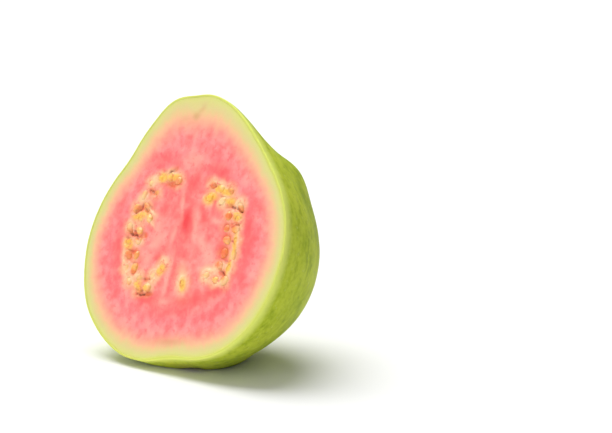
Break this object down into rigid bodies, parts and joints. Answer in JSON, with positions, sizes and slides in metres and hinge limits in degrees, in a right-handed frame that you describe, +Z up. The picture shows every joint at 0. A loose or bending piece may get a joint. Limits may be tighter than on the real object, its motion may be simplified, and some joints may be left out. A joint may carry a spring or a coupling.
{
  "type": "cut guava half",
  "caption": "Half of a pear-shaped pink guava, cut lengthways: green skin, pale rim, pink flesh and yellow seeds, standing on its end and leaning back.",
  "frame": {"origin": "middle of the bounding box's underside, on the surface that the half stands on", "axes": "+Z up, stem end at the top; -Y is the side that the cut face looks to, leaning back about 22 degrees; +X to the right seen from the cut"},
  "size_m": [0.079, 0.0528, 0.0779],
  "materials": {
    "skin": "thin waxy green fruit skin, softly glossy, finely pored",
    "flesh": "moist pink fruit flesh, paler towards the rim, cut with a knife",
    "seed": "hard pale yellow seed in a thin moist film of pulp",
    "dried_stem": "dried brown stem and calyx, matt and fibrous"
  },
  "bodies": {
    "root": {"skin": "skin", "flesh": "flesh", "stem_stub": "dried_stem", "calyx": "dried_stem", "seed_left_01": "seed", "seed_left_02": "seed", "seed_left_03": "seed", "seed_left_04": "seed", "seed_left_05": "seed", "seed_left_06": "seed", "seed_left_07": "seed", "seed_left_08": "seed", "seed_left_09": "seed", "seed_left_10": "seed", "seed_left_11": "seed", "seed_left_12": "seed", "seed_left_13": "seed", "seed_left_14": "seed", "seed_left_15": "seed", "seed_left_16": "seed", "seed_left_17": "seed", "seed_left_18": "seed", "seed_left_19": "seed", "seed_left_20": "seed", "seed_left_21": "seed", "seed_left_22": "seed", "seed_left_23": "seed", "seed_left_24": "seed", "seed_lower_01": "seed", "seed_right_01": "seed", "seed_right_02": "seed", "seed_right_03": "seed", "seed_right_04": "seed", "seed_right_05": "seed", "seed_right_06": "seed", "seed_right_07": "seed", "seed_right_08": "seed", "seed_right_09": "seed", "seed_right_10": "seed", "seed_right_11": "seed", "seed_right_12": "seed", "seed_right_13": "seed", "seed_right_14": "seed", "seed_right_15": "seed", "seed_right_16": "seed", "seed_right_17": "seed", "seed_right_18": "seed", "seed_right_19": "seed", "seed_right_20": "seed"}
  },
  "joints": []
}
